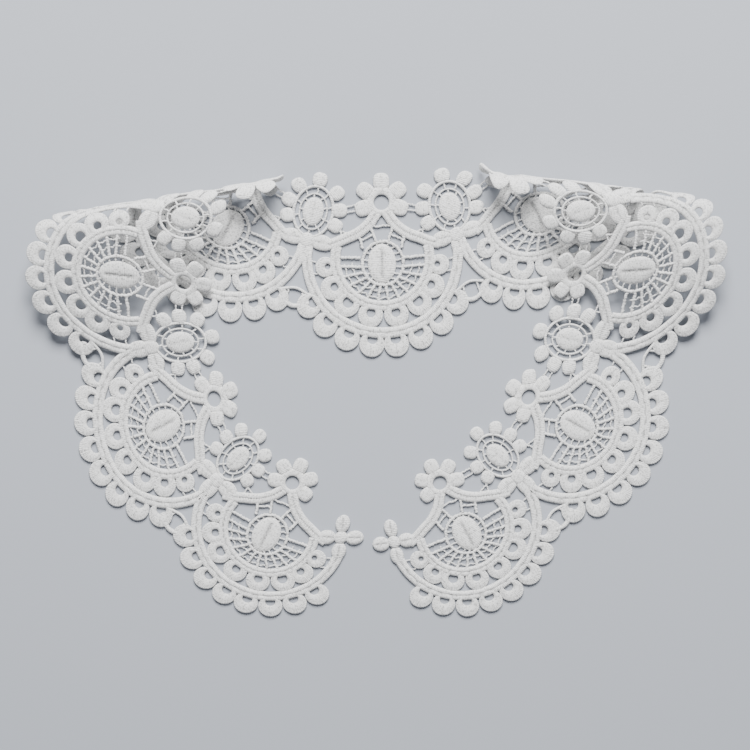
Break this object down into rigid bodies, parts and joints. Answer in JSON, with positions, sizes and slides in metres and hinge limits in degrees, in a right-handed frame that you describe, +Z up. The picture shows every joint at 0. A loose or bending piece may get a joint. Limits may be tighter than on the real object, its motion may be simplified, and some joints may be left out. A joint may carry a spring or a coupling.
{
  "type": "lace collar",
  "caption": "Flat guipure lace collar of joined fans, medallions and eyelet flowers, laid with both fronts folded over the back.",
  "frame": {"origin": "middle of the collar's outline in plan, on the surface it lies on", "axes": "+Z up from the surface; +X towards the collar's right front as it is seen from above with the back fan at the top; +Y towards the folded back edge"},
  "size_m": [0.2784, 0.1822, 0.0163],
  "materials": {
    "cotton_lace": "matt white cotton satin stitch"
  },
  "bodies": {
    "root": {"back_fan": "cotton_lace", "back_flower": "cotton_lace", "left_1_cross": "cotton_lace", "left_1_fan": "cotton_lace", "left_1_flower": "cotton_lace", "left_1_link": "cotton_lace", "left_1_medallion": "cotton_lace", "left_2_cross": "cotton_lace", "left_2_fan": "cotton_lace", "left_2_flower": "cotton_lace", "left_2_link": "cotton_lace", "left_2_medallion": "cotton_lace", "left_3_cross": "cotton_lace", "left_3_fan": "cotton_lace", "left_3_flower": "cotton_lace", "left_3_link": "cotton_lace", "left_3_medallion": "cotton_lace", "left_4_cross": "cotton_lace", "left_4_fan": "cotton_lace", "left_4_flower": "cotton_lace", "left_4_link": "cotton_lace", "left_4_medallion": "cotton_lace", "left_tab": "cotton_lace", "right_1_cross": "cotton_lace", "right_1_fan": "cotton_lace", "right_1_flower": "cotton_lace", "right_1_link": "cotton_lace", "right_1_medallion": "cotton_lace", "right_2_cross": "cotton_lace", "right_2_fan": "cotton_lace", "right_2_flower": "cotton_lace", "right_2_link": "cotton_lace", "right_2_medallion": "cotton_lace", "right_3_cross": "cotton_lace", "right_3_fan": "cotton_lace", "right_3_flower": "cotton_lace", "right_3_link": "cotton_lace", "right_3_medallion": "cotton_lace", "right_4_cross": "cotton_lace", "right_4_fan": "cotton_lace", "right_4_flower": "cotton_lace", "right_4_link": "cotton_lace", "right_4_medallion": "cotton_lace", "right_tab": "cotton_lace"}
  },
  "joints": []
}
